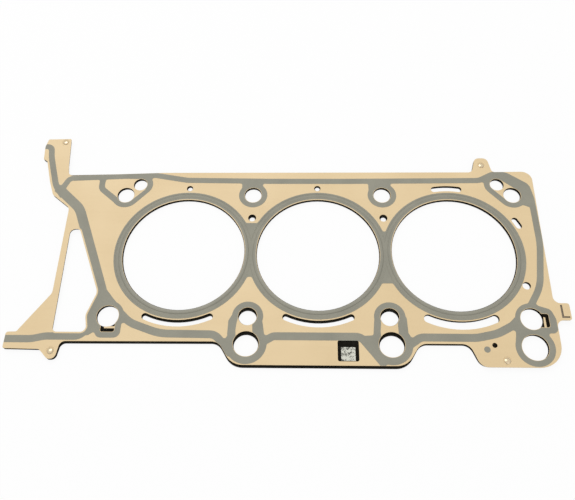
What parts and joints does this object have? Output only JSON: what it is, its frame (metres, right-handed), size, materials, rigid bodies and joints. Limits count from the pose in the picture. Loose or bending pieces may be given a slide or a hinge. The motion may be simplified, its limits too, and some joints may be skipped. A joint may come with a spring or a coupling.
{
  "type": "cylinder head gasket",
  "caption": "Multi-layer steel cylinder head gasket with cylinder bores in line, elastomer sealing beads, bolt and dowel holes and a chain-cover arm.",
  "frame": {"origin": "on the middle cylinder's axis, in the steel face that lies on the block (the elastomer print stands 0.08 mm below it)", "axes": "+Z along the cylinders from block to head, +X along the crankshaft away from the chain-cover arm, +Y across the bank towards the long straight edge"},
  "size_m": [0.4232, 0.202, 0.0033],
  "materials": {
    "coated_spring_steel": "satin tan coating over spring steel",
    "black_coated_steel": "thin black coating over plain steel",
    "bare_steel": "bare steel",
    "grey_elastomer": "matt screen-printed elastomer",
    "label_film": "matt printed film"
  },
  "bodies": {
    "root": {"top_active_layer": "coated_spring_steel", "bottom_active_layer": "black_coated_steel", "distance_layer": "black_coated_steel", "stopper_rings": "bare_steel", "top_seal_print": "grey_elastomer", "bottom_seal_print": "grey_elastomer", "corner_rivets": "bare_steel", "identification_label": "label_film"}
  },
  "joints": []
}
